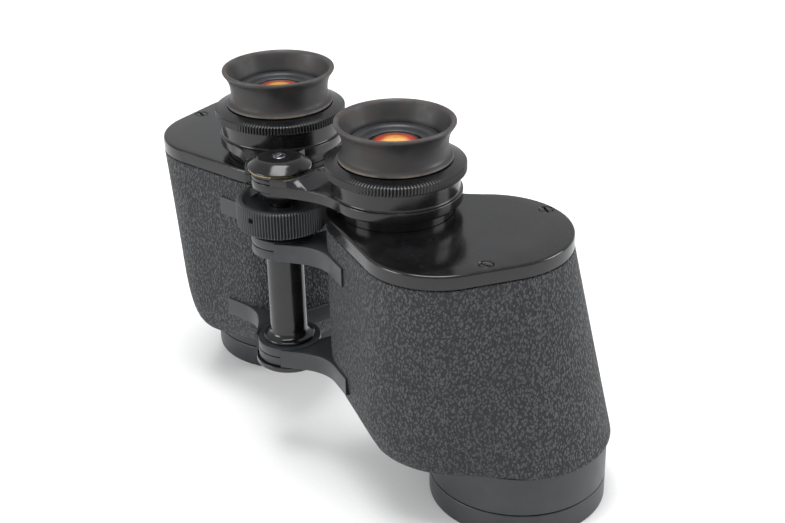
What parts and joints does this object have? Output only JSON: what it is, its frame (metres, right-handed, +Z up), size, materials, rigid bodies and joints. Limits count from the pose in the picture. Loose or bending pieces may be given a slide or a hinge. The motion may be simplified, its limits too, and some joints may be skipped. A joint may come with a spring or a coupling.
{
  "type": "binoculars",
  "caption": "Centre-focus Porro-prism binoculars with leatherette-covered prism housings, flared rubber eyecups, folding hinge and knurled focusing wheel.",
  "frame": {"origin": "middle of the surface that the binoculars stand on, under the middle of their box", "axes": "+Z up along the hinge, from the objectives to the eyepieces; +X towards the left barrel; -Y is the side of the hinge, towards the sky when in use"},
  "size_m": [0.2062, 0.0944, 0.1339],
  "materials": {
    "black_satin": "satin black enamel on cast and turned metal",
    "black_gloss": "gloss black enamel",
    "leatherette": "pebble-grained black leatherette",
    "rubber": "dull, slightly browned black rubber",
    "coated_glass": "polished, amber anti-reflection coating",
    "prism_glass": "polished, with ground sides",
    "bright_steel": "bright turned steel",
    "black_inside": "matt black inside surfaces"
  },
  "bodies": {
    "right_half": {"right_housing": "black_satin", "right_covering": "leatherette", "right_cover": "black_gloss", "right_cover_screw_1": "black_gloss", "right_cover_screw_2": "black_gloss", "right_objective_bezel": "black_satin", "right_objective_barrel": "black_satin", "right_objective_cell": "black_inside", "right_objective_lock_ring": "black_inside", "right_objective_front_lens": "coated_glass", "right_objective_rear_lens": "coated_glass", "right_prism_shelf": "bright_steel", "right_upper_prism": "prism_glass", "right_lower_prism": "prism_glass", "right_upper_strap": "bright_steel", "right_lower_strap": "bright_steel", "right_eyepiece_guide": "black_gloss", "hinge_tube": "black_gloss", "hinge_bottom_cap": "black_gloss", "wheel_washer": "black_satin"},
    "left_half": {"left_housing": "black_satin", "left_covering": "leatherette", "left_cover": "black_gloss", "left_cover_screw_1": "black_gloss", "left_cover_screw_2": "black_gloss", "left_objective_bezel": "black_satin", "left_objective_barrel": "black_satin", "left_objective_cell": "black_inside", "left_objective_lock_ring": "black_inside", "left_objective_front_lens": "coated_glass", "left_objective_rear_lens": "coated_glass", "left_prism_shelf": "bright_steel", "left_upper_prism": "prism_glass", "left_lower_prism": "prism_glass", "left_upper_strap": "bright_steel", "left_lower_strap": "bright_steel", "left_eyepiece_guide": "black_gloss"},
    "focus_wheel": {"focus_wheel": "black_satin", "wheel_set_screw": "black_inside"},
    "right_bridge": {"right_eyepiece_arm": "black_satin", "focus_spindle": "black_gloss", "hinge_cap": "black_gloss", "cap_screw": "bright_steel"},
    "left_bridge": {"left_eyepiece_arm": "black_satin", "left_lens_tube": "black_inside", "left_eye_lens": "coated_glass", "left_field_lens": "coated_glass", "left_knurled_collar": "black_satin", "left_eyecup": "rubber", "left_eye_bezel": "black_inside"},
    "right_eyepiece": {"right_lens_tube": "black_inside", "right_eye_lens": "coated_glass", "right_field_lens": "coated_glass"},
    "right_dioptre_ring": {"right_knurled_collar": "black_satin", "right_eyecup": "rubber", "right_eye_bezel": "black_inside"}
  },
  "joints": [
    {"name": "interpupillary_fold", "type": "hinge", "parent": "right_half", "child": "left_half", "pos_m": [0, -0.03149, 0.07], "axis": [0, 0, 1], "range_deg": [-13, 27]},
    {"name": "focus_turn", "type": "hinge", "parent": "right_half", "child": "focus_wheel", "pos_m": [0, -0.03149, 0.096], "axis": [0, 0, 1], "range_deg": [-125, 250]},
    {"name": "left_focus_slide", "type": "slide", "parent": "left_half", "child": "left_bridge", "axis": [0, 0, 1], "range_m": [-0.0025, 0.005]},
    {"name": "right_focus_slide", "type": "slide", "parent": "right_half", "child": "right_bridge", "axis": [0, 0, 1], "range_m": [-0.0025, 0.005]},
    {"name": "dioptre_travel", "type": "slide", "parent": "right_bridge", "child": "right_eyepiece", "axis": [0, 0, 1], "range_m": [-0.001, 0.001]},
    {"name": "dioptre_turn", "type": "hinge", "parent": "right_eyepiece", "child": "right_dioptre_ring", "pos_m": [-0.03445, -0.00809, 0.118], "axis": [0, 0, 1], "range_deg": [-60, 60]}
  ],
  "couplings": [
    {"joint": "focus_turn", "follows": "left_focus_slide", "rad_per_m": 872.66},
    {"joint": "right_focus_slide", "follows": "left_focus_slide", "ratio": 1},
    {"joint": "dioptre_turn", "follows": "dioptre_travel", "rad_per_m": 1047.2}
  ]
}
